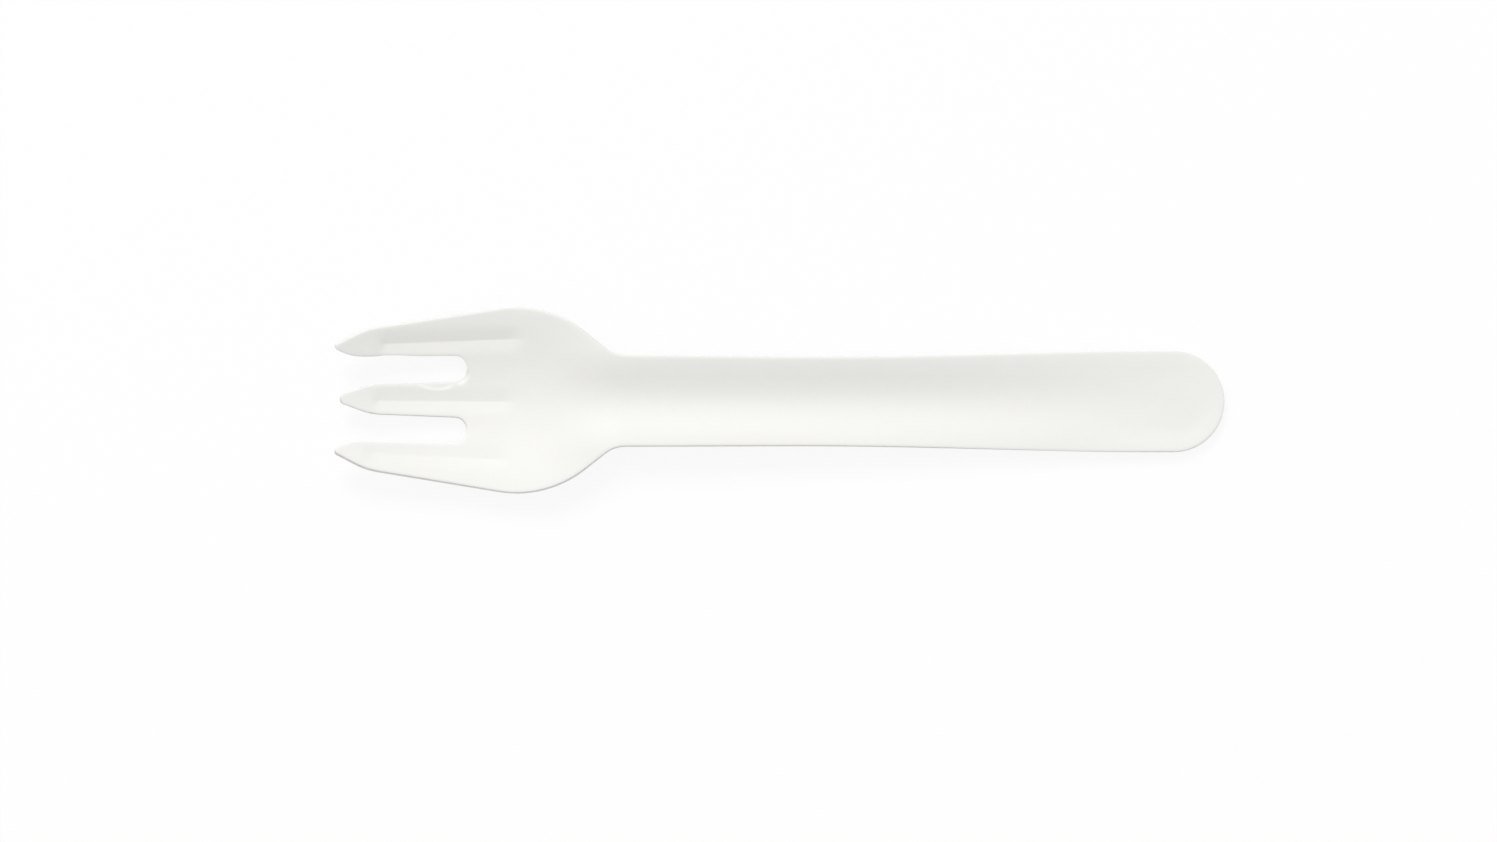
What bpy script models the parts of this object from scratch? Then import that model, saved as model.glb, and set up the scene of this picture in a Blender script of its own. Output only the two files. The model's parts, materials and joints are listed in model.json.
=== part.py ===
"""Pressed paper fork.

Five plies of paper and the four glue films that bond them are cut to one outline and pressed to one
form. The tines point to -X and the handle's end to +X, and the fork lies on Z = 0 as on a table.
"""

import math

import bmesh
import bpy
from mathutils import Matrix, Vector

MM = 0.001

# Layers of the laminate
FACE_PLY_THICKNESS = 0.22 * MM
CORE_PLY_THICKNESS = 0.25 * MM
GLUE_FILM_THICKNESS = 0.02 * MM
BOND_CLEARANCE = 0.005 * MM

# Outline of the head
LENGTH = 160.0 * MM
HEAD_WIDTH = 33.6 * MM
WIDEST_FROM_TIPS = 32.7 * MM
SHOULDER_RADIUS = 19.8 * MM
SHOULDER_ANGLE = math.radians(38.7)
HEAD_FLARE_ANGLE = math.radians(8.9)

# Outline of the tines and the slots between them
OUTER_TIP_SPREAD = 19.05 * MM
OUTER_TIP_RADIUS = 0.6 * MM
OUTER_TAPER_ANGLE = math.radians(27.5)
OUTER_TAPER_RADIUS = 14.0 * MM
INNER_TAPER_ANGLE = math.radians(22.8)
INNER_TAPER_RADIUS = 9.0 * MM
SLOT_DEPTH = 23.7 * MM
SLOT_WIDTH = 4.9 * MM
SLOT_RADIUS = 2.2 * MM
SLOT_OUTER_SPLAY = math.radians(1.0)
MIDDLE_TINE_WIDTH = 6.6 * MM
MIDDLE_TINE_TAPER = math.radians(1.9)
MIDDLE_TIP_SETBACK = 0.9 * MM
MIDDLE_TIP_RADIUS = 1.05 * MM
MIDDLE_TIP_ANGLE = math.radians(19.8)
MIDDLE_TAPER_RADIUS = 10.0 * MM

# Outline of the handle
NECK_WIDTH = 16.6 * MM
NECK_RADIUS = 6.0 * MM
WAIST_WIDTH = 16.0 * MM
WAIST_FROM_END = 67.0 * MM
WAIST_RADIUS = 1000.0 * MM
FLARE_FROM_END = 20.0 * MM
FLARE_RADIUS = 600.0 * MM
END_WIDTH = 18.2 * MM

# Pressed form of the head: heights, and distances from the tips
TINE_RISE = 3.5 * MM
FLOOR_FROM_TIPS = 30.0 * MM
NECK_RISE = 2.75 * MM
NECK_FROM_TIPS = 52.0 * MM
BOWL_DEPTH = 3.75 * MM
BOWL_RUNOUT = 23.0 * MM
BOWL_FADE_FROM_TIPS = 35.4 * MM
BOWL_FADE_LENGTH = 18.6 * MM

# Creases along the tines
MIDDLE_CREASE_DEPTH = 0.325 * MM
MIDDLE_CREASE_HALF_WIDTH = 2.4 * MM
OUTER_CREASE_DEPTH = 0.3 * MM
OUTER_CREASE_HALF_WIDTH = 2.4 * MM
OUTER_CREASE_SPREAD = 20.1 * MM
OUTER_CREASE_SPLAY = math.radians(2.6)
CREASE_FROM_TIPS = 5.8 * MM
CREASE_LENGTH = 28.6 * MM
CREASE_LEAD_IN = 2.2 * MM
CREASE_RUNOUT = 5.0 * MM

# Trough along the handle, which runs out into the flat end
TROUGH_DEPTH = 1.9 * MM
TROUGH_RUNOUT = 9.6 * MM
TROUGH_FROM_TIPS = 36.0 * MM
TROUGH_START_LENGTH = 17.0 * MM
TROUGH_FADE_LENGTH = 66.0 * MM
FLAT_END_LENGTH = 6.0 * MM

# How finely the sheet is divided
CHORD_ERROR = 0.05 * MM
HEAD_STEP = 3.4 * MM
HANDLE_STEP = 9.0 * MM
TROUGH_STRIP = 2.7 * MM
HEAD_STRIP = 3.0 * MM
SNAP = 0.15 * MM
SAME_POINT = 0.005 * MM
SHARP_ANGLE = math.radians(15.0)

TIPS_X = -LENGTH / 2
END_X = LENGTH / 2

# Finishes: colour and roughness
COATED_FINISH = ((0.86, 0.86, 0.84), 0.6)
CORE_FINISH = ((0.84, 0.82, 0.77), 0.9)
GLUE_FINISH = ((0.80, 0.78, 0.70), 0.4)


def clear_scene():
    for obj in list(bpy.data.objects):
        bpy.data.objects.remove(obj, do_unlink=True)


def heading(angle):
    return Vector((math.cos(angle), math.sin(angle)))


def left_of(along):
    return Vector((-along.y, along.x))


def tangent_corner(centre, radius, normal_a, normal_b):
    """Where two lines cross that touch one circle at the ends of the radii along these normals."""
    return centre + (normal_a + normal_b) * (radius / (1 + normal_a.dot(normal_b)))


def crossing(point_a, along_a, point_b, along_b):
    """Where two lines cross, each given by a point and its direction."""
    return point_a + along_a * ((point_b - point_a).cross(along_b) / along_a.cross(along_b))


def half_corners():
    """Corners with their radii on the +Y side, from the handle's end round to the middle tine."""
    flare = heading(HEAD_FLARE_ANGLE)
    shoulder = heading(-SHOULDER_ANGLE)
    outer_taper = heading(OUTER_TAPER_ANGLE)
    inner_taper = heading(-INNER_TAPER_ANGLE)
    middle_taper = heading(MIDDLE_TIP_ANGLE)
    mirrored_taper = heading(-MIDDLE_TIP_ANGLE)

    shoulder_centre = Vector((TIPS_X + WIDEST_FROM_TIPS, HEAD_WIDTH / 2 - SHOULDER_RADIUS))
    shoulder_corner = tangent_corner(shoulder_centre, SHOULDER_RADIUS, left_of(flare), left_of(shoulder))
    neck_side = Vector((0.0, NECK_WIDTH / 2))
    neck_corner = crossing(shoulder_corner, shoulder, neck_side, heading(0.0))

    outer_tip_centre = Vector((TIPS_X + OUTER_TIP_RADIUS, OUTER_TIP_SPREAD / 2))
    outer_tip = tangent_corner(
        outer_tip_centre, OUTER_TIP_RADIUS, left_of(outer_taper), -left_of(inner_taper)
    )
    outer_taper_corner = crossing(outer_tip, outer_taper, shoulder_corner, flare)

    slot_inner_corner = Vector((TIPS_X + SLOT_DEPTH, MIDDLE_TINE_WIDTH / 2))
    slot_outer_corner = slot_inner_corner + Vector((0.0, SLOT_WIDTH))
    inner_taper_corner = crossing(outer_tip, inner_taper, slot_outer_corner, heading(SLOT_OUTER_SPLAY))

    middle_tip_centre = Vector((TIPS_X + MIDDLE_TIP_SETBACK + MIDDLE_TIP_RADIUS, 0.0))
    middle_tip = tangent_corner(
        middle_tip_centre, MIDDLE_TIP_RADIUS, left_of(middle_taper), -left_of(mirrored_taper)
    )
    middle_side = heading(MIDDLE_TINE_TAPER)
    middle_taper_corner = crossing(middle_tip, middle_taper, slot_inner_corner, middle_side)

    return [
        (Vector((END_X, END_WIDTH / 2)), END_WIDTH / 2),
        (Vector((END_X - FLARE_FROM_END, END_WIDTH / 2)), FLARE_RADIUS),
        (Vector((END_X - WAIST_FROM_END, WAIST_WIDTH / 2)), WAIST_RADIUS),
        (neck_corner, NECK_RADIUS),
        (shoulder_corner, SHOULDER_RADIUS),
        (outer_taper_corner, OUTER_TAPER_RADIUS),
        (outer_tip, OUTER_TIP_RADIUS),
        (inner_taper_corner, INNER_TAPER_RADIUS),
        (slot_outer_corner, SLOT_RADIUS),
        (slot_inner_corner, SLOT_RADIUS),
        (middle_taper_corner, MIDDLE_TAPER_RADIUS),
        (middle_tip, MIDDLE_TIP_RADIUS),
    ]


def arc_reach(corners, index):
    """How far from its corner an arc of the corner's own radius would leave the two sides."""
    corner, radius = corners[index]
    back = corners[index - 1][0] - corner
    ahead = corners[(index + 1) % len(corners)][0] - corner
    return radius / math.tan(back.angle(ahead) / 2)


def rounded(corners):
    """Points round a closed outline, anticlockwise, with each corner drawn as an arc.

    Two arcs that are too long for the side between them share it in the ratio of their reaches.
    """
    reaches = [arc_reach(corners, index) for index in range(len(corners))]
    points = []
    for index, (corner, _) in enumerate(corners):
        following = (index + 1) % len(corners)
        back = corners[index - 1][0] - corner
        ahead = corners[following][0] - corner
        fit_back = back.length / (reaches[index] + reaches[index - 1])
        fit_ahead = ahead.length / (reaches[index] + reaches[following])
        reach = reaches[index] * min(1.0, fit_back, fit_ahead)
        back.normalize()
        ahead.normalize()
        half_angle = back.angle(ahead) / 2
        radius = reach * math.tan(half_angle)
        centre = corner + (back + ahead).normalized() * (radius / math.sin(half_angle))
        spoke = corner + back * reach - centre
        sweep = math.pi - 2 * half_angle
        turn = sweep if back.cross(ahead) < 0 else -sweep
        steps = math.ceil(sweep / (2 * math.acos(1 - CHORD_ERROR / radius)))
        for step in range(steps + 1):
            points.append(centre + Matrix.Rotation(turn * step / steps, 2) @ spoke)
    return points


def blank_outline():
    """The cut outline as a filled 2D curve."""
    half = half_corners()
    mirrored = [(Vector((corner.x, -corner.y)), radius) for corner, radius in reversed(half[:-1])]
    points = rounded(half + mirrored)
    curve = bpy.data.curves.new("blank_outline", "CURVE")
    curve.dimensions = "2D"
    curve.fill_mode = "BOTH"
    spline = curve.splines.new("POLY")
    spline.points.add(len(points) - 1)
    for target, point in zip(spline.points, points):
        target.co = (point.x, point.y, 0.0, 1.0)
    spline.use_cyclic_u = True
    return bpy.data.objects.new("blank_outline", curve)


def cut_sheet(sheet, point, along, start, stop):
    """Divides the flat sheet along one line, where its faces lie from start to stop behind the tips."""
    faces = [face for face in sheet.faces if start < face.calc_center_bounds().x - TIPS_X < stop]
    chosen = set(faces)
    edges = [edge for edge in sheet.edges if not chosen.isdisjoint(edge.link_faces)]
    verts = [vert for vert in sheet.verts if not chosen.isdisjoint(vert.link_faces)]
    bmesh.ops.bisect_plane(
        sheet,
        geom=verts + edges + faces,
        dist=SNAP,
        plane_co=(point.x, point.y, 0.0),
        plane_no=(-along.y, along.x, 0.0),
    )


def spaced(start, stop, step):
    """Even steps from start to stop, each no longer than step."""
    count = math.ceil((stop - start) / step)
    return [start + (stop - start) * index / count for index in range(count + 1)]


def divide_sheet(sheet):
    """Cuts the sheet crosswise at stations, then lengthwise along the creases and the trough."""
    creases_end = CREASE_FROM_TIPS + CREASE_LENGTH
    trough_full = TROUGH_FROM_TIPS + TROUGH_START_LENGTH
    flat_start = LENGTH - FLAT_END_LENGTH
    stations = [CREASE_FROM_TIPS]
    stations += spaced(CREASE_FROM_TIPS + CREASE_LEAD_IN, creases_end, HEAD_STEP)[:-1]
    stations += spaced(creases_end, trough_full, HEAD_STEP)[:-1]
    stations += spaced(trough_full, flat_start, HANDLE_STEP)
    across = Vector((0.0, 1.0))
    for station in stations:
        cut_sheet(sheet, Vector((TIPS_X + station, 0.0)), across, 0.0, LENGTH)

    along = Vector((1.0, 0.0))
    cut_sheet(sheet, Vector((0.0, 0.0)), along, 0.0, flat_start)
    for side in (-1, 1):
        cut_sheet(sheet, Vector((0.0, side * MIDDLE_CREASE_HALF_WIDTH)), along, 0.0, creases_end)
        splay = heading(side * OUTER_CREASE_SPLAY)
        for offset in (-OUTER_CREASE_HALF_WIDTH, 0.0, OUTER_CREASE_HALF_WIDTH):
            start = Vector((TIPS_X + CREASE_FROM_TIPS, side * (OUTER_CREASE_SPREAD / 2 + offset)))
            cut_sheet(sheet, start, splay, 0.0, creases_end)
        for strip in spaced(0.0, WAIST_WIDTH / 2, TROUGH_STRIP)[1:-1]:
            cut_sheet(sheet, Vector((0.0, side * strip)), along, creases_end, flat_start)
        for strip in spaced(WAIST_WIDTH / 2, HEAD_WIDTH / 2, HEAD_STRIP)[:-1]:
            cut_sheet(sheet, Vector((0.0, side * strip)), along, creases_end, trough_full)


def ease(share):
    """A smooth step from 0 to 1 as share goes from 0 to 1."""
    held = min(max(share, 0.0), 1.0)
    return held * held * (3 - 2 * held)


def wall(side, runout):
    """A side wall's rise: level at the middle, steepest halfway to runout, and level again there."""
    return (1 - math.cos(math.pi * min(side / runout, 1.0))) / 2


def groove(side, half_width):
    """A V groove's share of its depth at this distance from its line."""
    return max(0.0, 1 - abs(side) / half_width)


def tail(share):
    """A fade that leaves 1 level as share falls from 1, and meets 0 at a slight angle."""
    return math.sin(math.pi / 2 * min(max(share, 0.0), 1.0))


def spine_height(behind):
    """Height of the underside along the middle line, with the creases left out."""
    tine_curl = TINE_RISE * max(0.0, 1 - behind / FLOOR_FROM_TIPS) ** 2
    climb = ease((behind - FLOOR_FROM_TIPS) / (NECK_FROM_TIPS - FLOOR_FROM_TIPS))
    fall = ease((behind - NECK_FROM_TIPS) / (LENGTH - FLAT_END_LENGTH - NECK_FROM_TIPS))
    return tine_curl + (MIDDLE_CREASE_DEPTH + NECK_RISE * climb) * (1 - fall)


def press_height(x, y):
    """Height of the fork's underside at a point of the plan, as the press leaves it."""
    behind = x - TIPS_X
    side = abs(y)

    bowl = BOWL_DEPTH * wall(side, BOWL_RUNOUT)
    bowl *= 1 - ease((behind - BOWL_FADE_FROM_TIPS) / BOWL_FADE_LENGTH)

    trough = TROUGH_DEPTH * wall(side, TROUGH_RUNOUT)
    trough *= ease((behind - TROUGH_FROM_TIPS) / TROUGH_START_LENGTH)
    trough *= tail((LENGTH - FLAT_END_LENGTH - behind) / TROUGH_FADE_LENGTH)

    past_front = behind - CREASE_FROM_TIPS
    outer_line = OUTER_CREASE_SPREAD / 2 + past_front * math.tan(OUTER_CREASE_SPLAY)
    creases = MIDDLE_CREASE_DEPTH * groove(side, MIDDLE_CREASE_HALF_WIDTH)
    creases += OUTER_CREASE_DEPTH * groove(side - outer_line, OUTER_CREASE_HALF_WIDTH)
    creases *= ease(past_front / CREASE_LEAD_IN)
    creases *= ease((CREASE_LENGTH - past_front) / CREASE_RUNOUT)

    return spine_height(behind) + bowl + trough - creases


def pressed_sheet():
    """The underside of the fork as an open mesh: the blank, cut out, divided and pressed."""
    outline = blank_outline()
    bpy.context.scene.collection.objects.link(outline)
    graph = bpy.context.evaluated_depsgraph_get()
    mesh = bpy.data.meshes.new_from_object(outline.evaluated_get(graph))
    mesh.name = "pressed_sheet"
    bpy.data.objects.remove(outline, do_unlink=True)

    sheet = bmesh.new()
    sheet.from_mesh(mesh)
    bmesh.ops.remove_doubles(sheet, verts=sheet.verts, dist=SAME_POINT)
    bmesh.ops.dissolve_faces(sheet, faces=sheet.faces)
    divide_sheet(sheet)
    bmesh.ops.triangulate(sheet, faces=sheet.faces)
    for vert in sheet.verts:
        vert.co.z = press_height(vert.co.x, vert.co.y)
    for face in sheet.faces:
        face.normal_update()
        if face.normal.z < 0:
            face.normal_flip()
        face.smooth = True
    for edge in sheet.edges:
        edge.smooth = not edge.is_boundary and edge.calc_face_angle() < SHARP_ANGLE
    sheet.to_mesh(mesh)
    sheet.free()
    return mesh


def layer_material(name, finish):
    colour, roughness = finish
    material = bpy.data.materials.new(name)
    material.use_nodes = True
    shader = material.node_tree.nodes["Principled BSDF"]
    shader.inputs["Base Color"].default_value = (*colour, 1.0)
    shader.inputs["Roughness"].default_value = roughness
    shader.inputs["Metallic"].default_value = 0.0
    return material


def add_layer(collection, sheet, name, depth, thickness, material):
    """One layer of the laminate: the pressed sheet thickened from depth above the underside."""
    layer = bpy.data.objects.new(name, sheet.copy())
    layer.data.name = name
    layer.data.materials.append(material)
    solidify = layer.modifiers.new("layer_thickness", "SOLIDIFY")
    solidify.thickness = thickness
    solidify.offset = 1 + 2 * depth / thickness
    solidify.use_even_offset = True
    solidify.use_quality_normals = True
    collection.objects.link(layer)


def build_fork():
    clear_scene()
    collection = bpy.data.collections.new("paper_fork")
    bpy.context.scene.collection.children.link(collection)
    coated = layer_material("coated_paper", COATED_FINISH)
    core = layer_material("core_paper", CORE_FINISH)
    glue = layer_material("glue", GLUE_FINISH)
    sheet = pressed_sheet()

    layers = [
        ("bottom_face_ply", FACE_PLY_THICKNESS, coated),
        ("bottom_glue_film", GLUE_FILM_THICKNESS, glue),
        ("lower_core_ply", CORE_PLY_THICKNESS, core),
        ("lower_core_glue_film", GLUE_FILM_THICKNESS, glue),
        ("middle_core_ply", CORE_PLY_THICKNESS, core),
        ("upper_core_glue_film", GLUE_FILM_THICKNESS, glue),
        ("upper_core_ply", CORE_PLY_THICKNESS, core),
        ("top_glue_film", GLUE_FILM_THICKNESS, glue),
        ("top_face_ply", FACE_PLY_THICKNESS, coated),
    ]
    depth = 0.0
    for name, thickness, material in layers:
        add_layer(collection, sheet, name, depth, thickness, material)
        depth += thickness + BOND_CLEARANCE


build_fork()
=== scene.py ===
"""Looks of a pressed paper fork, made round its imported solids.

Five plies of paper and four glue films are cut to one outline, pressed to one form and finished, and a
pale stage shows the fork from straight above. The tines point to -X and the handle's end to +X.
"""

import json
import math
from collections import namedtuple

import bmesh
import bpy
from bpy.props import FloatProperty, FloatVectorProperty, PointerProperty
from mathutils import Matrix, Vector, geometry, kdtree, noise


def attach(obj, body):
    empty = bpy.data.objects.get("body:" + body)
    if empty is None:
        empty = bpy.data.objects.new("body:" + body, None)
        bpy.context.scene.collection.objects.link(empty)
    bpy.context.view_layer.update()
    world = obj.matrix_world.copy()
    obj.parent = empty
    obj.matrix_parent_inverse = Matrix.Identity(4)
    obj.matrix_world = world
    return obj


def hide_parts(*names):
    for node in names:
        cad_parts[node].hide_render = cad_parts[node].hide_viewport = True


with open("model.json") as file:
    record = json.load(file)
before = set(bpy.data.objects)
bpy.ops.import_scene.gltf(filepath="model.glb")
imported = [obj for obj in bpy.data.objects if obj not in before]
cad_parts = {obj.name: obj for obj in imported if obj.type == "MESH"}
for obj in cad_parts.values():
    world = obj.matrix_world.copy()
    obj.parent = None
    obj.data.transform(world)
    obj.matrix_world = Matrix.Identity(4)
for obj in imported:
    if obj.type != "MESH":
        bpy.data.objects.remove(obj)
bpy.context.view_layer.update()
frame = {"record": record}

bl_info = {
    "name": "Paper Fork",
    "version": (1, 0, 0),
    "blender": (4, 5, 0),
    "location": "3D View > Sidebar > Paper Fork",
    "description": "Presses and finishes the layers of a laminated paper fork",
    "category": "Add Mesh",
}

MM = 0.001

# How finely the sheet is drawn: steps along its lines, rings inside its cut edge, rows beside its creases,
# and the least gap between two points as a share of their step
CHORD_ERROR = 0.004 * MM
EDGE_STEP = 0.5 * MM
EDGE_RINGS = (0.09 * MM, 0.2 * MM, 0.38 * MM, 0.62 * MM)
CREASE_STEP = 0.4 * MM
CREASE_ROWS = (-0.36 * MM, 0.0, 0.36 * MM)
DENT_STEP = 0.22 * MM
GRID_STEP = 0.85 * MM
LEAST_SPACING = 0.6
SAME_POINT = 0.001 * MM

# Corners of a layer's cut edge: steps round each, and the least angle that is rounded
ROUNDING_STEPS = 2
ROUNDED_ANGLE = math.radians(60)

# Unevenness of the pressed sheet and of its cut edge
WAVE_LENGTH = 14.0 * MM
WAVE_HEIGHT = 0.03 * MM
RAGGED_LENGTH = 0.35 * MM

# A dent in the sheet: its middle, its reach along and across, how far it is turned, its depth, and the
# share of its reach that its wall takes
Dent = namedtuple("Dent", "x y along across turn depth wall")
DENTS = (
    Dent(-62.2 * MM, 3.35 * MM, 3.9 * MM, 1.5 * MM, math.radians(-7), 0.21 * MM, 0.3),
    Dent(-57.0 * MM, 4.1 * MM, 1.9 * MM, 1.1 * MM, math.radians(45), 0.42 * MM, 0.9),
)

# How far the close points go round a dent, as a share of its reach
DENT_SURROUND = 1.3

# Names of what each point of the sheet carries
EDGE_WEAR = "edge_wear"
BURNISH = "burnish"
KEPT_THICKNESS = "kept_thickness"

# The grain of a finish: how close its patches lie along X, Y and Z, their width, and their fine detail
Grain = namedtuple("Grain", "closeness width detail")
EVEN = (1.0, 1.0, 1.0)
GRAIN_ROUGHNESS = 0.6
MID_TONE = 0.5

# Coated face: its grain, the levels where its fibres are thin and full, the share of clouds in its tone and
# in its relief, its relief, and how far tone, wear and polish change its roughness
COAT_CLOUDS = Grain(EVEN, 2.4 * MM, 3.0)
COAT_FIBRES = Grain((0.22, 1.0, 1.0), 0.07 * MM, 2.0)
THIN_FIBRES = 0.3
FULL_FIBRES = 0.7
COAT_TONE_CLOUDS = 0.5
COAT_RELIEF_CLOUDS = 0.6
COAT_RELIEF = 0.012 * MM
COAT_ROUGHNESS_SWING = 0.3
WEAR_DULLING = 0.2
BURNISH_POLISH = 0.14

# Raw paper: its grain, the share of clouds in its tone, its relief, and how far tone changes its roughness
RAW_CLOUDS = Grain(EVEN, 0.9 * MM, 3.0)
RAW_FIBRES = Grain((0.3, 0.3, 2.5), 0.09 * MM, 5.0)
RAW_TONE_CLOUDS = 0.4
RAW_RELIEF = 0.03 * MM
RAW_ROUGHNESS_SWING = 0.2

# Dried glue: its grain, its relief, and how far its clouds change its roughness
GLUE_CLOUDS = Grain(EVEN, 0.6 * MM, 4.0)
GLUE_RELIEF = 0.01 * MM
GLUE_ROUGHNESS_SWING = 0.3

# Brightness of raw paper and glue where they are darkest, as a share of their colour
DARKEST = 0.9

WHITE = (1.0, 1.0, 1.0, 1.0)


def size(name, description, millimetres):
    """A length that a user may change."""
    return FloatProperty(
        name=name, description=description, default=millimetres * MM, unit="LENGTH", precision=5
    )


def angle(name, description, degrees):
    """An angle that a user may change."""
    return FloatProperty(
        name=name, description=description, default=math.radians(degrees), subtype="ANGLE"
    )


def share(name, description, default):
    """A share from 0 to 1 that a user may change."""
    return FloatProperty(
        name=name, description=description, default=default, min=0.0, max=1.0, subtype="FACTOR"
    )


def colour(name, description, default):
    """A colour that a user may change."""
    return FloatVectorProperty(
        name=name, description=description, default=default, min=0.0, max=1.0, subtype="COLOR"
    )


class ForkOutline(bpy.types.PropertyGroup):
    """Plan sizes of the blank that the fork is cut from"""

    length: size("Length", "From the outer tips to the handle's end", 160.0)
    head_width: size("Head width", "Across the head where it is widest", 33.6)
    widest_from_tips: size("Widest from tips", "Where the head is widest", 32.7)
    shoulder_radius: size("Shoulder radius", "Of the arc round the head's widest part", 19.8)
    shoulder_angle: angle("Shoulder angle", "Of the straight from the shoulder to the neck", 38.7)
    head_flare: angle("Head flare", "Of the head's side in front of its widest part", 8.9)
    outer_tip_spread: size("Outer tip spread", "Between the two outer tips", 19.05)
    outer_tip_radius: size("Outer tip radius", "Of an outer tine's tip", 0.6)
    outer_taper: angle("Outer taper", "Of an outer tip's outer side", 27.5)
    outer_taper_radius: size("Outer taper radius", "Where that taper meets the side", 14.0)
    inner_taper: angle("Inner taper", "Of an outer tip's inner side", 22.8)
    inner_taper_radius: size("Inner taper radius", "Where that taper meets the slot", 9.0)
    slot_depth: size("Slot depth", "From the outer tips to the end of a slot", 23.7)
    slot_width: size("Slot width", "At the end of a slot", 4.9)
    slot_radius: size("Slot radius", "Of the corners at the end of a slot", 2.2)
    slot_splay: angle("Slot splay", "Of a slot's outer side", 1.0)
    middle_width: size("Middle tine width", "At the end of the slots", 6.6)
    middle_taper: angle("Middle tine taper", "Of the middle tine's sides", 1.9)
    middle_setback: size("Middle tip setback", "From the outer tips to the middle one", 0.9)
    middle_tip_radius: size("Middle tip radius", "Of the middle tine's tip", 1.05)
    middle_tip_angle: angle("Middle tip angle", "Of the middle tip's sides", 19.8)
    middle_taper_radius: size("Middle taper radius", "Where the middle tip meets its sides", 10.0)
    neck_width: size("Neck width", "Across the handle at the head", 16.6)
    neck_radius: size("Neck radius", "Where the head meets the handle", 6.0)
    waist_width: size("Waist width", "Across the handle where it is narrowest", 16.0)
    waist_from_end: size("Waist from end", "Where the handle is narrowest", 67.0)
    waist_radius: size("Waist radius", "Of the arc at the waist", 1000.0)
    flare_from_end: size("Flare from end", "Where the handle has its full end width", 20.0)
    flare_radius: size("Flare radius", "Of the arc that leads to the end width", 600.0)
    end_width: size("End width", "Across the round end", 18.2)


class ForkPressing(bpy.types.PropertyGroup):
    """Heights that the press gives the sheet, and where"""

    tine_rise: size("Tine rise", "Of the tips above the head's floor", 3.5)
    floor_from_tips: size("Floor from tips", "Where the head's floor is lowest", 30.0)
    neck_rise: size("Neck rise", "Of the neck above the head's floor", 2.75)
    neck_from_tips: size("Neck from tips", "Where the neck is highest", 52.0)
    bowl_depth: size("Bowl depth", "From the head's floor to the top of its walls", 3.75)
    bowl_runout: size("Bowl run-out", "From the middle to where the walls turn level", 23.0)
    bowl_fade_from_tips: size("Bowl fade from tips", "Where the bowl starts to fade", 35.4)
    bowl_fade_length: size("Bowl fade length", "Over which the bowl fades", 18.6)
    middle_crease_depth: size("Middle crease depth", "Of the crease along the middle tine", 0.325)
    middle_crease_half: size("Middle crease half width", "From its line to its shoulder", 2.4)
    left_crease_depth: size("Left crease depth", "Of the crease along the +Y tine", 0.42)
    right_crease_depth: size("Right crease depth", "Of the crease along the -Y tine", 0.2)
    outer_crease_half: size("Outer crease half width", "From a line to its shoulder", 2.4)
    outer_crease_spread: size("Outer crease spread", "Between the outer creases' front ends", 20.1)
    outer_crease_shift: size("Outer crease shift", "How far both outer creases lie towards +Y", 0.13)
    middle_crease_shift: size("Middle crease shift", "How far it lies towards +Y", -0.27)
    outer_crease_splay: angle("Outer crease splay", "Of the outer creases", 2.6)
    crease_from_tips: size("Crease from tips", "Where creases start on the middle line", 5.8)
    crease_skew: angle("Crease skew", "Of the line that the creases start from", 7.0)
    crease_length: size("Crease length", "Of each crease", 28.6)
    crease_lead_in: size("Crease lead-in", "Over which a crease reaches its depth", 2.2)
    crease_runout: size("Crease run-out", "Over which a crease fades", 5.0)
    trough_depth: size("Trough depth", "Of the trough along the handle", 1.9)
    trough_runout: size("Trough run-out", "From the middle to where its walls turn level", 9.6)
    trough_from_tips: size("Trough from tips", "Where the trough starts", 36.0)
    trough_start_length: size("Trough start length", "Over which it reaches its depth", 17.0)
    trough_fade_length: size("Trough fade length", "Over which it fades", 66.0)
    flat_end_length: size("Flat end length", "From the trough's end to the handle's end", 6.0)
    left_rim_lift: size("Left rim lift", "Of the rim round the handle's end on its +Y side", 0.12)
    right_rim_lift: size("Right rim lift", "Of the rim round the handle's end on its -Y side", 0.6)
    rim_start: size("Rim start", "From the middle of the round end to where its rim starts to rise", 4.4)
    rim_runout: size("Rim run-out", "From there to where the rim would turn level", 5.3)
    rim_from_end: size("Rim from end", "Where along the handle its rim starts to lift", 30.0)
    sideways_bow: size("Sideways bow", "How far both ends lie to +Y of the middle", 0.2)


class ForkLaminate(bpy.types.PropertyGroup):
    """The layers' thicknesses and how their cut edges finish"""

    face_ply: size("Face ply", "Thickness of a coated ply", 0.22)
    core_ply: size("Core ply", "Thickness of an uncoated ply", 0.25)
    glue_film: size("Glue film", "Thickness of the glue between two plies", 0.02)
    bond_clearance: size("Bond clearance", "Between a ply and its glue", 0.005)
    edge_squeeze: share("Edge squeeze", "Share of the thickness that the cutter presses out", 0.06)
    squeeze_width: size("Squeeze width", "How far in from the cut edge that reaches", 0.4)
    ply_rounding: size("Ply rounding", "Of the corners of a ply's cut edge", 0.06)
    cut_raggedness: size("Cut raggedness", "How far the cutter draws a layer's edge back", 0.02)
    glue_recess: size("Glue recess", "How far the glue stays short of the cut", 0.04)


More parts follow.
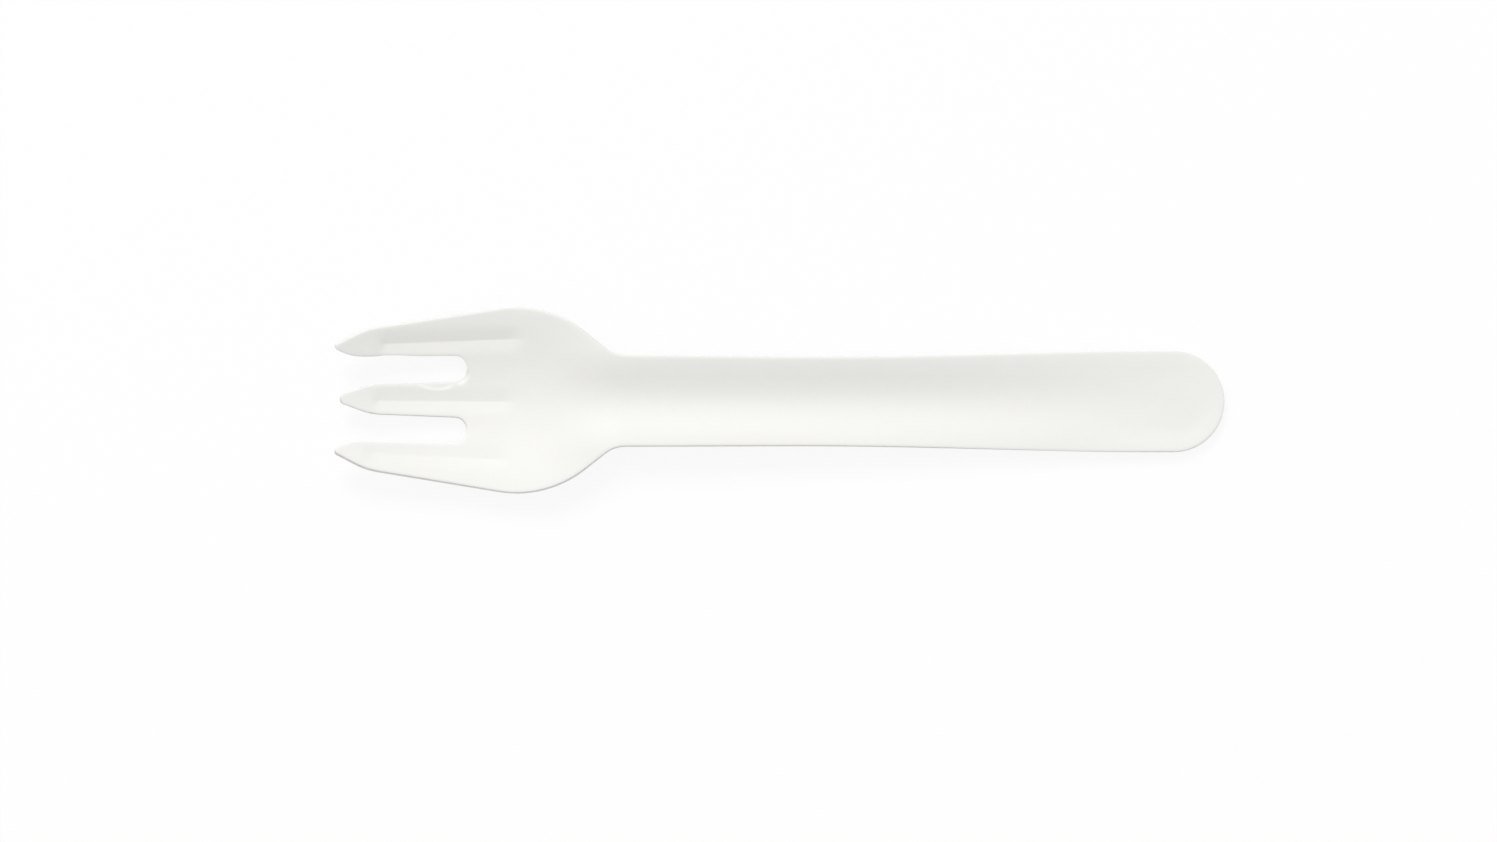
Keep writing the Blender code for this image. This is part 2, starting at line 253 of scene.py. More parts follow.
class ForkFinish(bpy.types.PropertyGroup):
    """Colours and surfaces of the paper and the glue"""

    coat: colour("Coated paper", "The coated face at its palest", (0.874, 0.871, 0.851))
    coat_shade: colour("Coated paper shade", "The coated face at its darkest", (0.830, 0.826, 0.803))
    cut_edge: colour("Cut edge", "Raw paper at the cut edge of a coated ply", (0.895, 0.885, 0.855))
    core: colour("Core paper", "Uncoated paper", (0.89, 0.88, 0.84))
    glue: colour("Glue", "Dried glue between the plies", (0.86, 0.84, 0.77))
    worn: colour("Worn edge", "Coat that the cutter and handling have dulled", (0.84, 0.83, 0.80))
    coat_roughness: share("Coat roughness", "Of the coated face", 0.56)
    paper_roughness: share("Paper roughness", "Of raw paper", 0.9)
    glue_roughness: share("Glue roughness", "Of dried glue", 0.4)
    wear_width: size("Wear width", "How far wear reaches in from the cut edge", 0.4)
    burnish_half: size("Burnish half width", "How far the die's ridge polishes a crease", 0.5)


class ForkStage(bpy.types.PropertyGroup):
    """Floor, light and camera"""

    floor: colour("Floor", "The pale floor", (0.93, 0.93, 0.93))
    floor_whiteness: share("Floor whiteness", "How far the floor's shade is lifted to white", 0.88)
    floor_side: size("Floor side", "Of the square floor", 4000.0)
    floor_gap: size("Floor gap", "Below the face that the fork rests on", 0.05)
    lamp_distance: size("Lamp distance", "From the fork to the soft lamp", 2500.0)
    lamp_side: size("Lamp side", "Of the square soft lamp", 950.0)
    lamp_lean: angle("Lamp lean", "Of the lamp from straight above", 46.0)
    lamp_bearing: angle("Lamp bearing", "Of the lamp round the fork, from +X", 108.0)
    lamp_level: share("Lamp level", "White paper's brightness from the lamp alone", 0.364)
    ceiling_level: share("Ceiling level", "Brightness of the light from above", 0.69)
    wall_level: share("Wall level", "Brightness of the light from low down all round", 0.3)
    wall_top: angle("Wall top", "Where the walls have passed into the ceiling", 35.0)
    frame_width: size("Frame width", "What the picture shows from side to side", 269.4)
    frame_centre_x: size("Frame centre X", "Middle of the picture along the fork", -5.61)
    frame_centre_y: size("Frame centre Y", "Middle of the picture across the fork", -3.55)
    camera_roll: angle("Camera roll", "Of the camera against the fork", 0.17)
    lens: FloatProperty(name="Lens", description="Focal length", default=300.0, unit="CAMERA")


# The outline that the cutter follows

def heading(turn):
    """Unit vector at this angle from +X."""
    return Vector((math.cos(turn), math.sin(turn)))


def left_of(along):
    """The direction at a right angle to the left of this one."""
    return Vector((-along.y, along.x))


def tangent_corner(centre, radius, normal_a, normal_b):
    """Where two lines cross that touch one circle at the ends of the radii along these normals."""
    return centre + (normal_a + normal_b) * (radius / (1 + normal_a.dot(normal_b)))


def crossing(point_a, along_a, point_b, along_b):
    """Where two lines cross, each given by a point and its direction."""
    return point_a + along_a * ((point_b - point_a).cross(along_b) / along_a.cross(along_b))


def half_corners(plan):
    """Corners with their radii on the +Y side, from the handle's end round to the middle tine."""
    end_x = plan.length / 2
    tips_x = -end_x
    flare = heading(plan.head_flare)
    shoulder = heading(-plan.shoulder_angle)
    outer_taper = heading(plan.outer_taper)
    inner_taper = heading(-plan.inner_taper)
    middle_taper = heading(plan.middle_tip_angle)
    mirrored_taper = heading(-plan.middle_tip_angle)

    shoulder_centre = Vector((tips_x + plan.widest_from_tips, plan.head_width / 2 - plan.shoulder_radius))
    shoulder_corner = tangent_corner(
        shoulder_centre, plan.shoulder_radius, left_of(flare), left_of(shoulder)
    )
    neck_side = Vector((0.0, plan.neck_width / 2))
    neck_corner = crossing(shoulder_corner, shoulder, neck_side, heading(0.0))

    outer_tip_centre = Vector((tips_x + plan.outer_tip_radius, plan.outer_tip_spread / 2))
    outer_tip = tangent_corner(
        outer_tip_centre, plan.outer_tip_radius, left_of(outer_taper), -left_of(inner_taper)
    )
    outer_taper_corner = crossing(outer_tip, outer_taper, shoulder_corner, flare)

    slot_inner_corner = Vector((tips_x + plan.slot_depth, plan.middle_width / 2))
    slot_outer_corner = slot_inner_corner + Vector((0.0, plan.slot_width))
    inner_taper_corner = crossing(outer_tip, inner_taper, slot_outer_corner, heading(plan.slot_splay))

    middle_tip_centre = Vector((tips_x + plan.middle_setback + plan.middle_tip_radius, 0.0))
    middle_tip = tangent_corner(
        middle_tip_centre, plan.middle_tip_radius, left_of(middle_taper), -left_of(mirrored_taper)
    )
    middle_side = heading(plan.middle_taper)
    middle_taper_corner = crossing(middle_tip, middle_taper, slot_inner_corner, middle_side)

    return [
        (Vector((end_x, plan.end_width / 2)), plan.end_width / 2),
        (Vector((end_x - plan.flare_from_end, plan.end_width / 2)), plan.flare_radius),
        (Vector((end_x - plan.waist_from_end, plan.waist_width / 2)), plan.waist_radius),
        (neck_corner, plan.neck_radius),
        (shoulder_corner, plan.shoulder_radius),
        (outer_taper_corner, plan.outer_taper_radius),
        (outer_tip, plan.outer_tip_radius),
        (inner_taper_corner, plan.inner_taper_radius),
        (slot_outer_corner, plan.slot_radius),
        (slot_inner_corner, plan.slot_radius),
        (middle_taper_corner, plan.middle_taper_radius),
        (middle_tip, plan.middle_tip_radius),
    ]


def arc_reach(corners, index):
    """How far from its corner an arc of the corner's own radius would leave the two sides."""
    corner, radius = corners[index]
    back = corners[index - 1][0] - corner
    ahead = corners[(index + 1) % len(corners)][0] - corner
    return radius / math.tan(back.angle(ahead) / 2)


def rounded(corners):
    """Points round a closed outline, anticlockwise, with each corner drawn as an arc.

    Two arcs that are too long for the side between them share it in the ratio of their reaches.
    """
    reaches = [arc_reach(corners, index) for index in range(len(corners))]
    points = []
    for index, (corner, _) in enumerate(corners):
        following = (index + 1) % len(corners)
        back = corners[index - 1][0] - corner
        ahead = corners[following][0] - corner
        fit_back = back.length / (reaches[index] + reaches[index - 1])
        fit_ahead = ahead.length / (reaches[index] + reaches[following])
        reach = reaches[index] * min(1.0, fit_back, fit_ahead)
        back.normalize()
        ahead.normalize()
        half_angle = back.angle(ahead) / 2
        radius = reach * math.tan(half_angle)
        centre = corner + (back + ahead).normalized() * (radius / math.sin(half_angle))
        spoke = corner + back * reach - centre
        sweep = math.pi - 2 * half_angle
        turn = sweep if back.cross(ahead) < 0 else -sweep
        steps = math.ceil(sweep / (2 * math.acos(1 - CHORD_ERROR / radius)))
        for step in range(steps + 1):
            points.append(centre + Matrix.Rotation(turn * step / steps, 2) @ spoke)
    return points


def cut_line(plan):
    """Points along the cut outline, anticlockwise and close together."""
    half = half_corners(plan)
    mirrored = [(Vector((corner.x, -corner.y)), radius) for corner, radius in reversed(half[:-1])]
    ring = rounded(half + mirrored)
    points = []
    for index, point in enumerate(ring):
        ahead = ring[(index + 1) % len(ring)] - point
        if ahead.length > SAME_POINT:
            steps = math.ceil(ahead.length / EDGE_STEP)
            points += [point + ahead * (step / steps) for step in range(steps)]
    return points


def inward_of(points, index):
    """Direction into the sheet at one point of its outline."""
    along = points[(index + 1) % len(points)] - points[index - 1]
    return left_of(along.normalized())


# The form that the press gives

def ease(part):
    """A smooth step from 0 to 1 as part goes from 0 to 1."""
    held = min(max(part, 0.0), 1.0)
    return held * held * (3 - 2 * held)


def tail(part):
    """A fade that leaves 1 level as part falls from 1, and meets 0 at a slight angle."""
    return math.sin(math.pi / 2 * min(max(part, 0.0), 1.0))


def wall(side, runout):
    """A side wall's rise: level at the middle, steepest halfway to runout, and level again there."""
    return (1 - math.cos(math.pi * min(side / runout, 1.0))) / 2


def v_shape(side, half_width):
    """1 on a line, falling evenly to 0 at half_width to either side of it."""
    return max(0.0, 1 - abs(side) / half_width)


def crease_front(y, press):
    """How far behind the tips the creases start, this far across the fork."""
    return press.crease_from_tips + y * math.tan(press.crease_skew)


def crease_y(side, past_front, press):
    """Where a crease lies across the fork, so far behind its front end. Side is 0 for the middle one."""
    if side == 0:
        return press.middle_crease_shift
    spread = press.outer_crease_spread / 2 + past_front * math.tan(press.outer_crease_splay)
    return side * spread + press.outer_crease_shift


def creases(point, middle, outer, plan, press):
    """Depth of the creases at a point of the plan. Middle and outer each hold a depth and a half width."""
    past_front = point.x + plan.length / 2 - crease_front(point.y, press)
    side = math.copysign(1, point.y)
    middle_depth, middle_half = middle
    outer_depth, outer_half = outer
    depth = middle_depth * v_shape(point.y - crease_y(0, past_front, press), middle_half)
    depth += outer_depth * v_shape(point.y - crease_y(side, past_front, press), outer_half)
    depth *= ease(past_front / press.crease_lead_in)
    return depth * ease((press.crease_length - past_front) / press.crease_runout)


def spine_height(behind, plan, press):
    """Height of the underside along the middle line, with the creases left out."""
    tine_curl = press.tine_rise * max(0.0, 1 - behind / press.floor_from_tips) ** 2
    climb = ease((behind - press.floor_from_tips) / (press.neck_from_tips - press.floor_from_tips))
    flat_start = plan.length - press.flat_end_length
    fall = ease((behind - press.neck_from_tips) / (flat_start - press.neck_from_tips))
    return tine_curl + (press.middle_crease_depth + press.neck_rise * climb) * (1 - fall)


def end_rim(point, plan, press):
    """Lift of the rim round the handle's end, which passes from the left side's to the right side's."""
    end_radius = plan.end_width / 2
    from_end = plan.length / 2 - point.x
    to_right = (1 - point.y / end_radius) / 2
    lift = press.left_rim_lift + (press.right_rim_lift - press.left_rim_lift) * to_right
    from_middle = math.hypot(max(0.0, end_radius - from_end), point.y)
    lift *= wall(max(0.0, from_middle - press.rim_start), press.rim_runout)
    return lift * ease((press.rim_from_end - from_end) / (press.rim_from_end - end_radius))


def press_height(point, plan, press):
    """Height of the fork's underside at a point of the plan, as the press leaves it."""
    behind = point.x + plan.length / 2
    side = abs(point.y)

    bowl = press.bowl_depth * wall(side, press.bowl_runout)
    bowl *= 1 - ease((behind - press.bowl_fade_from_tips) / press.bowl_fade_length)

    trough = press.trough_depth * wall(side, press.trough_runout)
    trough *= ease((behind - press.trough_from_tips) / press.trough_start_length)
    trough *= tail((plan.length - press.flat_end_length - behind) / press.trough_fade_length)

    middle_crease = (press.middle_crease_depth, press.middle_crease_half)
    outer_depth = press.left_crease_depth if point.y > 0 else press.right_crease_depth
    outer_crease = (outer_depth, press.outer_crease_half)
    creased = creases(point, middle_crease, outer_crease, plan, press)
    waves = WAVE_HEIGHT * noise.noise(point.to_3d() / WAVE_LENGTH)
    return spine_height(behind, plan, press) + bowl + trough + end_rim(point, plan, press) + waves - creased


def dent_reach(dent, point):
    """Distance of a point from a dent's middle, as a share of the dent's reach that way."""
    apart = Matrix.Rotation(-dent.turn, 2) @ (point - Vector((dent.x, dent.y)))
    return math.hypot(apart.x / dent.along, apart.y / dent.across)


def dented(point):
    """How far the dents press the sheet down at a point of the plan."""
    return sum(dent.depth * ease((1 - dent_reach(dent, point)) / dent.wall) for dent in DENTS)


# The blank, divided finely enough to take that form

def search_tree(points):
    """A tree that finds the nearest of these points of the plan."""
    tree = kdtree.KDTree(len(points))
    for index, point in enumerate(points):
        tree.insert(point.to_3d(), index)
    tree.balance()
    return tree


def gap_to(tree, point):
    """Distance from a point of the plan to the nearest one in the tree."""
    return tree.find(point.to_3d())[2]


def crease_line(side, offset, plan, press):
    """Points along one crease, or along a row beside it. Side is 0 for the middle crease."""
    steps = math.ceil(press.crease_length / CREASE_STEP)
    points = []
    for step in range(steps + 1):
        past_front = press.crease_length * step / steps
        y = crease_y(side, past_front, press)
        points.append(Vector((crease_front(y, press) + past_front - plan.length / 2, y + offset)))
    return points


def lattice(step, low, high):
    """Points in even rows over a box of the plan, each row half a step along from the last."""
    row_gap = step * math.sqrt(3) / 2
    columns = math.ceil((high.x - low.x) / step)
    rows = math.ceil((high.y - low.y) / row_gap)
    points = []
    for row in range(rows + 1):
        stagger = step / 2 * (row % 2)
        for column in range(columns + 1):
            points.append(low + Vector((column * step + stagger, row * row_gap)))
    return points


def dent_points(dent, edge_tree):
    """Close points over a dent and its surround, clear of the cut edge."""
    middle = Vector((dent.x, dent.y))
    reach = Vector((1.0, 1.0)) * DENT_SURROUND * max(dent.along, dent.across)
    return [
        point
        for point in lattice(DENT_STEP, middle - reach, middle + reach)
        if dent_reach(dent, point) < DENT_SURROUND and gap_to(edge_tree, point) > EDGE_STEP
    ]


def add_apart(points, extra, gap):
    """Adds the extra points that keep this gap to every point placed before them."""
    tree = search_tree(points)
    points += [point for point in extra if gap_to(tree, point) > gap]


def dividing_points(edge, edge_tree, plan, press):
    """Points that divide the blank, those of its cut edge first, and the folds along its creases."""
    points = list(edge)
    for ring in EDGE_RINGS:
        moved = [point + inward_of(edge, index) * ring for index, point in enumerate(edge)]
        points += [point for point in moved if gap_to(edge_tree, point) > ring - SAME_POINT]
    folds = []
    for side in (-1, 0, 1):
        for offset in CREASE_ROWS:
            start = len(points)
            points += crease_line(side, offset, plan, press)
            if offset == 0.0:
                folds += [(index, index + 1) for index in range(start, len(points) - 1)]
    for dent in DENTS:
        add_apart(points, dent_points(dent, edge_tree), DENT_STEP * LEAST_SPACING)
    corner = Vector((plan.length, plan.head_width)) / 2
    add_apart(points, lattice(GRID_STEP, -corner, corner), GRID_STEP * LEAST_SPACING)
    return points, folds


class Blank:
    """The flat sheet, cut out and divided, with the way inwards at each point of its cut edge."""

    def __init__(self, scene):
        plan = scene.fork_outline
        press = scene.fork_pressing
        laminate = scene.fork_laminate
        finish = scene.fork_finish
        edge = cut_line(plan)
        edge_tree = search_tree(edge)
        points, folds = dividing_points(edge, edge_tree, plan, press)
        outline = list(range(len(edge)))
        inside_only = 1
        placed, _, triangles, _, _, _ = geometry.delaunay_2d_cdt(
            points, folds, [outline], inside_only, SAME_POINT
        )

        self.sheet = bmesh.new()
        wear = self.sheet.verts.layers.float.new(EDGE_WEAR)
        burnish = self.sheet.verts.layers.float.new(BURNISH)
        groups = self.sheet.verts.layers.deform.verify()
        thickness_group = 0
        ridge = (1.0, finish.burnish_half)
        made = {}
        for index in sorted({corner for triangle in triangles for corner in triangle}):
            point = placed[index]
            gap = gap_to(edge_tree, point)
            squeeze = laminate.edge_squeeze * v_shape(gap, laminate.squeeze_width) ** 2
            vert = self.sheet.verts.new((point.x, point.y, 0.0))
            vert[wear] = v_shape(gap, finish.wear_width)
            vert[burnish] = creases(point, ridge, ridge, plan, press)
            vert[groups][thickness_group] = 1 - squeeze
            made[index] = vert
        for triangle in triangles:
            face = self.sheet.faces.new([made[corner] for corner in triangle])
            face.normal_update()
            if face.normal.z < 0:
                face.normal_flip()
            face.smooth = True
        self.sheet.verts.index_update()
        self.inward = {
            made[index].index: inward_of(edge, index) for index in outline if index in made
        }


# The layers of the laminate

def layers_of(slot, laminate):
    """The record's layers of one material, bottom layer first: node, depth above the underside, thickness."""
    thickness_of = {
        "coated_paper": laminate.face_ply,
        "core_paper": laminate.core_ply,
        "glue": laminate.glue_film,
    }
    depth = 0.0
    found = []
    for subpart in reversed(frame["record"]["subparts"]):
        thickness = thickness_of[subpart["material_slot"]]
        if subpart["material_slot"] == slot:
            found.append((subpart["node"], depth, thickness))
        depth += thickness + laminate.bond_clearance
    return found


def layer_mesh(blank, name, recess, depth, scene):
    """The blank with its cut edge drawn back by the recess and a ragged amount, then pressed."""
    plan = scene.fork_outline
    press = scene.fork_pressing
    raggedness = scene.fork_laminate.cut_raggedness
    sheet = blank.sheet.copy()
    for vert in sheet.verts:
        if vert.index in blank.inward:
            spot = vert.co / RAGGED_LENGTH
            spot.z = depth / RAGGED_LENGTH
            back = recess + raggedness * (noise.noise(spot) + 1) / 2
            vert.co += (blank.inward[vert.index] * back).to_3d()
        vert.co.z = press_height(vert.co.to_2d(), plan, press)
        vert.co.y += press.sideways_bow * (2 * vert.co.x / plan.length) ** 2
    mesh = bpy.data.meshes.new(name)
    sheet.to_mesh(mesh)
    sheet.free()
    return mesh


def thicken(layer, depth, thickness, rim_material):
    """Gives a layer its thickness, from its depth above the underside."""
    layer.vertex_groups.new(name=KEPT_THICKNESS)
    solidify = layer.modifiers.new("thickness", "SOLIDIFY")
    solidify.vertex_group = KEPT_THICKNESS
    solidify.thickness = thickness
    solidify.offset = 1 + 2 * depth / thickness
    solidify.use_even_offset = True
    solidify.use_quality_normals = True
    solidify.material_offset_rim = rim_material


def round_cut(layer, rounding):
    """Rounds the corners of a layer's cut edge."""
    bevel = layer.modifiers.new("rounded_cut", "BEVEL")
    bevel.width = rounding
    bevel.segments = ROUNDING_STEPS
    bevel.limit_method = "ANGLE"
    bevel.angle_limit = ROUNDED_ANGLE


def press_dents(layer):
    """Settles a layer's thickness and cut edge, then presses the dents straight down into it."""
    graph = bpy.context.evaluated_depsgraph_get()
    finished = layer.evaluated_get(graph)
    mesh = bpy.data.meshes.new_from_object(finished, preserve_all_data_layers=True, depsgraph=graph)
    for vert in mesh.vertices:
        vert.co.z -= dented(vert.co.to_2d())
    layer.modifiers.clear()
    layer.data = mesh


def press_layers(scene, slot, materials, recess, rounding):
    """Presses every layer of one material slot. The last of its materials shows at the cut edge.

    The layers stay short of the cut by the recess. A rounding of 0 leaves the cut edge square.
    """
    blank = Blank(scene)
    for node, depth, thickness in layers_of(slot, scene.fork_laminate):
        name = node + "_pressed"
        mesh = layer_mesh(blank, name, recess, depth, scene)
        for material in materials:
            mesh.materials.append(material)
        layer = bpy.data.objects.new(name, mesh)
        scene.collection.objects.link(layer)
        thicken(layer, depth, thickness, len(materials) - 1)
        if rounding:
            round_cut(layer, rounding)
        press_dents(layer)
        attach(layer, "root")
        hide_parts(node)
    blank.sheet.free()


# Shader nodes written as expressions

class Wire:
    """An output of a shader node. An expression on wires and numbers adds its Math nodes."""

    def __init__(self, graph, socket):
        self.graph = graph
        self.socket = socket

    def __add__(self, other):
        return self.graph.maths("ADD", self, other)

    def __radd__(self, other):
        return self.graph.maths("ADD", other, self)

    def __sub__(self, other):
        return self.graph.maths("SUBTRACT", self, other)

    def __rsub__(self, other):
        return self.graph.maths("SUBTRACT", other, self)

    def __mul__(self, other):
        return self.graph.maths("MULTIPLY", self, other)

    def __rmul__(self, other):
        return self.graph.maths("MULTIPLY", other, self)


def in_use(sockets, key):
    """The socket with this name, or this number, among those that a node's settings leave in use."""
    shown = [socket for socket in sockets if socket.enabled]
    if isinstance(key, int):
        return shown[key]
    return next(socket for socket in shown if socket.name == key)


class Graph:
    """A node tree that is written one node at a time."""

    def __init__(self, owner):
        owner.use_nodes = True
        self.tree = owner.node_tree
        self.tree.nodes.clear()

    def node(self, kind, settings, sockets, output):
        """Adds a node, sets it, feeds its sockets with values or wires, and returns one output."""
        made = self.tree.nodes.new(kind)
        for name, value in settings.items():
            setattr(made, name, value)
        for key, value in sockets.items():
            socket = in_use(made.inputs, key)
            if isinstance(value, Wire):
                self.tree.links.new(value.socket, socket)
            else:
                socket.default_value = value
        if output is None:
            return None
        return Wire(self, in_use(made.outputs, output))

    def maths(self, operation, first, second):
        """One Math node on two wires or numbers."""
        return self.node("ShaderNodeMath", {"operation": operation}, {0: first, 1: second}, 0)

    def grain(self, grain):
        """A cloudy pattern from 0 to 1 that is fixed to the object."""
        here = self.node("ShaderNodeTexCoord", {}, {}, "Object")
        multiply = {"operation": "MULTIPLY"}
        place = self.node("ShaderNodeVectorMath", multiply, {0: here, 1: grain.closeness}, 0)
        sockets = {
            "Vector": place,
            "Scale": 1 / grain.width,
            "Detail": grain.detail,
            "Roughness": GRAIN_ROUGHNESS,
        }
        return self.node("ShaderNodeTexNoise", {"normalize": True}, sockets, "Fac")

    def attribute(self, name):
        """What each point of the sheet carries under this name."""
        return self.node("ShaderNodeAttribute", {"attribute_name": name}, {}, "Fac")

    def blend(self, part, first, second):
        """A colour from first to second as part goes from 0 to 1."""
        sockets = {"Factor": part, "A": first, "B": second}
        return self.node("ShaderNodeMix", {"data_type": "RGBA"}, sockets, "Result")

    def ramp(self, value, start, stop):
        """A smooth step from 0 to 1 as the value goes from start to stop."""
        sockets = {"Value": value, "From Min": start, "From Max": stop}
        return self.node("ShaderNodeMapRange", {"interpolation_type": "SMOOTHSTEP"}, sockets, "Result")

    def mixed(self, part, first, second):
        """A shader from first to second as part goes from 0 to 1."""
        return self.node("ShaderNodeMixShader", {}, {0: part, 1: first, 2: second}, "Shader")

    def bump(self, height, depth):
        """A normal that follows this height, which is depth metres from 0 to 1."""
        return self.node("ShaderNodeBump", {}, {"Height": height, "Distance": depth, "Strength": 1.0}, 0)

    def principled(self, sockets):
        """A Principled shader with these sockets."""
        return self.node("ShaderNodeBsdfPrincipled", {}, sockets, "BSDF")

    def surface(self, shader):
        """Makes this shader the material's surface."""
        self.node("ShaderNodeOutputMaterial", {}, {"Surface": shader}, None)


# Finishes of the paper and the glue

def new_graph(name):
    """A new material with an empty graph."""
    material = bpy.data.materials.new(name)
    return material, Graph(material)


def opaque(rgb):
    """A colour with its alpha."""
    return (*rgb, 1.0)


def darkened(rgb):
    """A colour of raw paper or glue where it is darkest, with its alpha."""
    return opaque(DARKEST * channel for channel in rgb)


def weighted(first, second, part):
    """A pattern that is this part of the first and the rest of the second."""
    return part * first + (1 - part) * second


def coated_paper(finish):
    """White coated paper: clouds of fibre under a satin coat, polished creases and dulled edges."""
    material, graph = new_graph("coated_paper")
    clouds = graph.grain(COAT_CLOUDS)
    fibres = graph.ramp(graph.grain(COAT_FIBRES), THIN_FIBRES, FULL_FIBRES)
    polish = graph.attribute(BURNISH)
    wear = graph.attribute(EDGE_WEAR) * fibres
    tone = weighted(clouds, fibres, COAT_TONE_CLOUDS)
    face = graph.blend(tone, opaque(finish.coat_shade), opaque(finish.coat))
    roughness = finish.coat_roughness + COAT_ROUGHNESS_SWING * (tone - MID_TONE)
    sockets = {
        "Base Color": graph.blend(wear, face, opaque(finish.worn)),
        "Roughness": roughness + WEAR_DULLING * wear - BURNISH_POLISH * polish,
        "Normal": graph.bump(weighted(clouds, fibres, COAT_RELIEF_CLOUDS), COAT_RELIEF),
        "Specular IOR Level": 0.4,
        "Coat Weight": 0.06,
        "Coat Roughness": 0.35,
    }
    graph.surface(graph.principled(sockets))
    return material


def raw_paper(name, rgb, finish):
    """Uncoated paper at a cut edge, with its fibres lying in the plane of the ply."""
    material, graph = new_graph(name)
    clouds = graph.grain(RAW_CLOUDS)
    fibres = graph.grain(RAW_FIBRES)
    tone = weighted(clouds, fibres, RAW_TONE_CLOUDS)
    sockets = {
        "Base Color": graph.blend(tone, darkened(rgb), opaque(rgb)),
        "Roughness": finish.paper_roughness + RAW_ROUGHNESS_SWING * (tone - MID_TONE),
        "Normal": graph.bump(fibres, RAW_RELIEF),
        "Specular IOR Level": 0.25,
    }
    graph.surface(graph.principled(sockets))
    return material


def dried_glue(finish):
    """A thin film of dried glue, a little yellow and uneven."""
    material, graph = new_graph("dried_glue")
    clouds = graph.grain(GLUE_CLOUDS)
    sockets = {
        "Base Color": graph.blend(clouds, darkened(finish.glue), opaque(finish.glue)),
        "Roughness": finish.glue_roughness + GLUE_ROUGHNESS_SWING * (clouds - MID_TONE),
        "Normal": graph.bump(clouds, GLUE_RELIEF),
    }
    graph.surface(graph.principled(sockets))
    return material


# The stage: floor, light and camera

def looking_share(graph, part):
    """This part for rays from the camera, a reflection or a clear body, and 0 for the rest."""
    seen = graph.node("ShaderNodeLightPath", {}, {}, "Is Camera Ray")
    glossy = graph.node("ShaderNodeLightPath", {}, {}, "Is Glossy Ray")
    clear = graph.node("ShaderNodeLightPath", {}, {}, "Is Transmission Ray")
    return part * (seen + glossy + clear)


def pale_floor(stage):
    """A pale floor whose shade is lifted towards white where it is looked at."""
    material, graph = new_graph("pale_floor")
    matte = graph.node("ShaderNodeBsdfDiffuse", {}, {"Color": opaque(stage.floor)}, "BSDF")
    white = graph.node("ShaderNodeEmission", {}, {"Color": WHITE}, "Emission")
    graph.surface(graph.mixed(looking_share(graph, stage.floor_whiteness), matte, white))
    return material


def add_floor(scene, stage):
    """A square floor just below the fork."""
    sheet = bmesh.new()
    bmesh.ops.create_grid(sheet, x_segments=1, y_segments=1, size=stage.floor_side / 2)
    mesh = bpy.data.meshes.new("floor")
    sheet.to_mesh(mesh)
    sheet.free()
    mesh.materials.append(pale_floor(stage))
    floor = bpy.data.objects.new("floor", mesh)
    floor.location.z = -stage.floor_gap
    scene.collection.objects.link(floor)


def glow(graph, strength):
    """White light of this strength from all round."""
    return graph.node("ShaderNodeBackground", {}, {"Color": WHITE, "Strength": strength}, "Background")


def add_sky(scene, stage):
    """A room with a pale ceiling and darker walls, which light the fork. It looks white all over."""
    world = bpy.data.worlds.new("pale_room")
    scene.world = world
    graph = Graph(world)
    towards = graph.node("ShaderNodeTexCoord", {}, {}, "Generated")
    upward = graph.node("ShaderNodeSeparateXYZ", {}, {"Vector": towards}, "Z")
    high = graph.ramp(upward, 0.0, math.sin(stage.wall_top))
    room = graph.mixed(high, glow(graph, stage.wall_level), glow(graph, stage.ceiling_level))
    sky = graph.mixed(looking_share(graph, 1.0), room, glow(graph, 1.0))
    graph.node("ShaderNodeOutputWorld", {}, {"Surface": sky}, None)


def add_soft_lamp(scene, stage):
    """One square lamp, high on the +Y side, set by how bright white paper looks under it."""
    lamp = bpy.data.lights.new("soft_lamp", "AREA")
    lamp.shape = "SQUARE"
    lamp.size = stage.lamp_side
    upright = math.cos(stage.lamp_lean)
    level = math.sin(stage.lamp_lean)
    lamp.energy = stage.lamp_level * (math.pi * stage.lamp_distance) ** 2 / upright
    towards = (heading(stage.lamp_bearing) * level).to_3d()
    towards.z = upright
    holder = bpy.data.objects.new("soft_lamp", lamp)
    holder.location = towards * stage.lamp_distance
    holder.rotation_euler = towards.to_track_quat("Z", "Y").to_euler()
    scene.collection.objects.link(holder)


def add_camera(scene, stage):
    """A long lens straight above the fork."""
    data = bpy.data.cameras.new("camera")
    data.lens = stage.lens
    data.sensor_fit = "HORIZONTAL"
    camera = bpy.data.objects.new("camera", data)
    distance = stage.frame_width * data.lens / data.sensor_width
    camera.location = (stage.frame_centre_x, stage.frame_centre_y, distance)
    camera.rotation_euler = (0.0, 0.0, stage.camera_roll)
    scene.collection.objects.link(camera)
    scene.camera = camera


# The steps that a user runs, and their panel

class FORK_OT_press_face_plies(bpy.types.Operator):
    """Press the two coated plies that make the fork's faces"""

    bl_idname = "fork.press_face_plies"
    bl_label = "Press Face Plies"

    def execute(self, context):
        scene = context.scene
        finish = scene.fork_finish
        materials = [coated_paper(finish), raw_paper("face_cut_edge", finish.cut_edge, finish)]
        press_layers(scene, "coated_paper", materials, 0.0, scene.fork_laminate.ply_rounding)
        return {"FINISHED"}


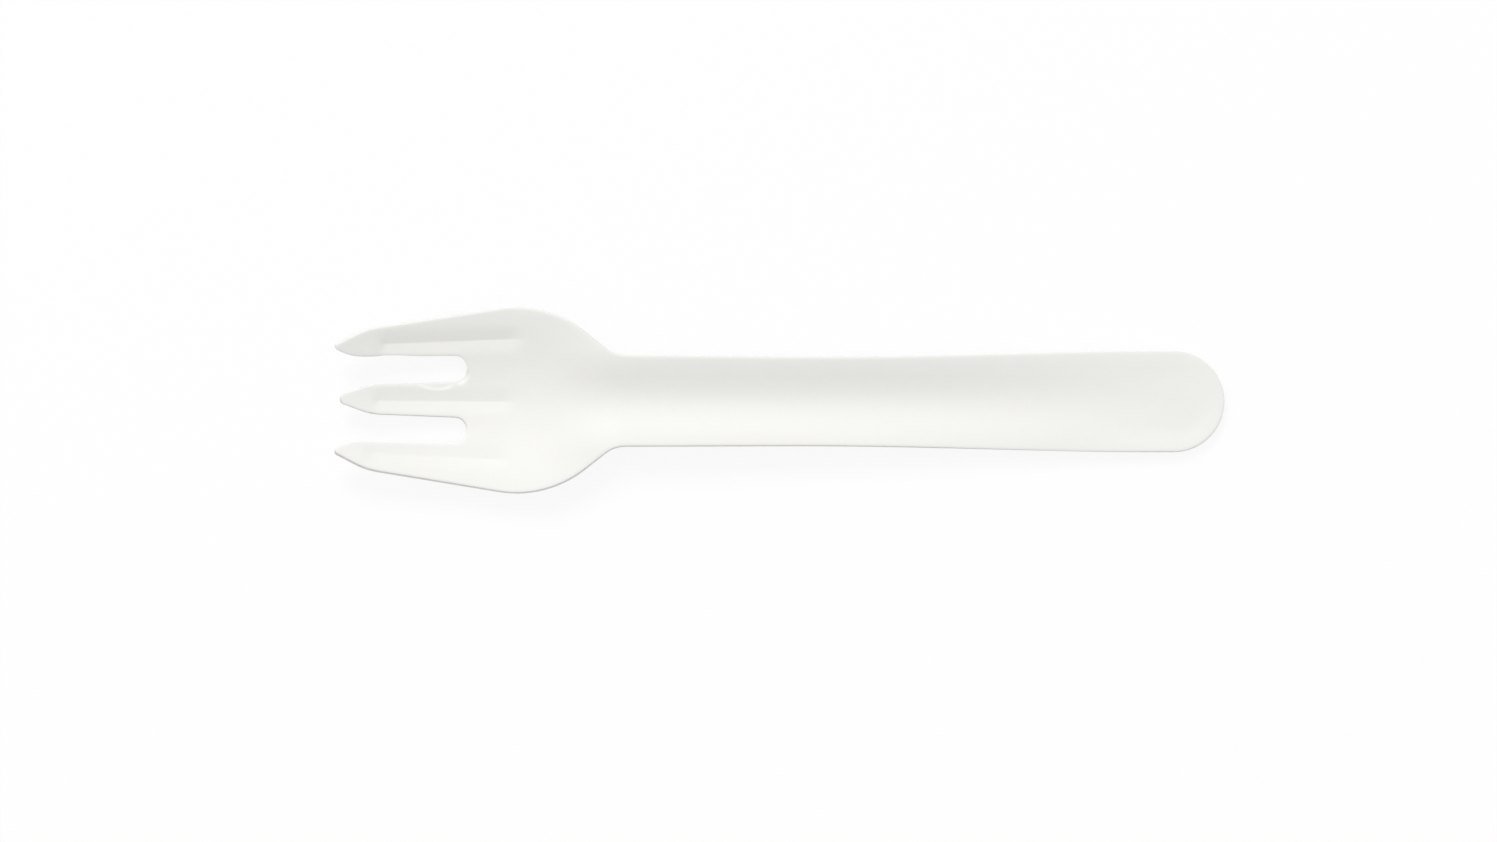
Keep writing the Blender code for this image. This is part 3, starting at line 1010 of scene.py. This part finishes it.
class FORK_OT_press_core_plies(bpy.types.Operator):
    """Press the uncoated plies between the faces"""

    bl_idname = "fork.press_core_plies"
    bl_label = "Press Core Plies"

    def execute(self, context):
        scene = context.scene
        finish = scene.fork_finish
        materials = [raw_paper("core_paper", finish.core, finish)]
        press_layers(scene, "core_paper", materials, 0.0, scene.fork_laminate.ply_rounding)
        return {"FINISHED"}


class FORK_OT_spread_glue_films(bpy.types.Operator):
    """Spread the glue films that bond the plies"""

    bl_idname = "fork.spread_glue_films"
    bl_label = "Spread Glue Films"

    def execute(self, context):
        scene = context.scene
        materials = [dried_glue(scene.fork_finish)]
        press_layers(scene, "glue", materials, scene.fork_laminate.glue_recess, 0.0)
        return {"FINISHED"}


class FORK_OT_set_stage(bpy.types.Operator):
    """Lay the pale floor, and set the light and the camera"""

    bl_idname = "fork.set_stage"
    bl_label = "Set Stage"

    def execute(self, context):
        scene = context.scene
        stage = scene.fork_stage
        scene.view_settings.view_transform = "Standard"
        add_floor(scene, stage)
        add_sky(scene, stage)
        add_soft_lamp(scene, stage)
        add_camera(scene, stage)
        return {"FINISHED"}


class FORK_PT_sidebar(bpy.types.Panel):
    """Lists the steps that make the fork"""

    bl_label = "Paper Fork"
    bl_space_type = "VIEW_3D"
    bl_region_type = "UI"
    bl_category = "Paper Fork"

    def draw(self, context):
        for step in STEPS:
            self.layout.operator(step.bl_idname)


SETTINGS = {
    "fork_outline": ForkOutline,
    "fork_pressing": ForkPressing,
    "fork_laminate": ForkLaminate,
    "fork_finish": ForkFinish,
    "fork_stage": ForkStage,
}
STEPS = (FORK_OT_press_face_plies, FORK_OT_press_core_plies, FORK_OT_spread_glue_films, FORK_OT_set_stage)


def register():
    for name, group in SETTINGS.items():
        bpy.utils.register_class(group)
        setattr(bpy.types.Scene, name, PointerProperty(type=group))
    for step in STEPS:
        bpy.utils.register_class(step)
    bpy.utils.register_class(FORK_PT_sidebar)


def unregister():
    bpy.utils.unregister_class(FORK_PT_sidebar)
    for step in reversed(STEPS):
        bpy.utils.unregister_class(step)
    for name, group in reversed(SETTINGS.items()):
        delattr(bpy.types.Scene, name)
        bpy.utils.unregister_class(group)


def main():
    register()
    bpy.ops.fork.press_face_plies()
    bpy.ops.fork.press_core_plies()
    bpy.ops.fork.spread_glue_films()
    bpy.ops.fork.set_stage()


if __name__ == "__main__":
    main()
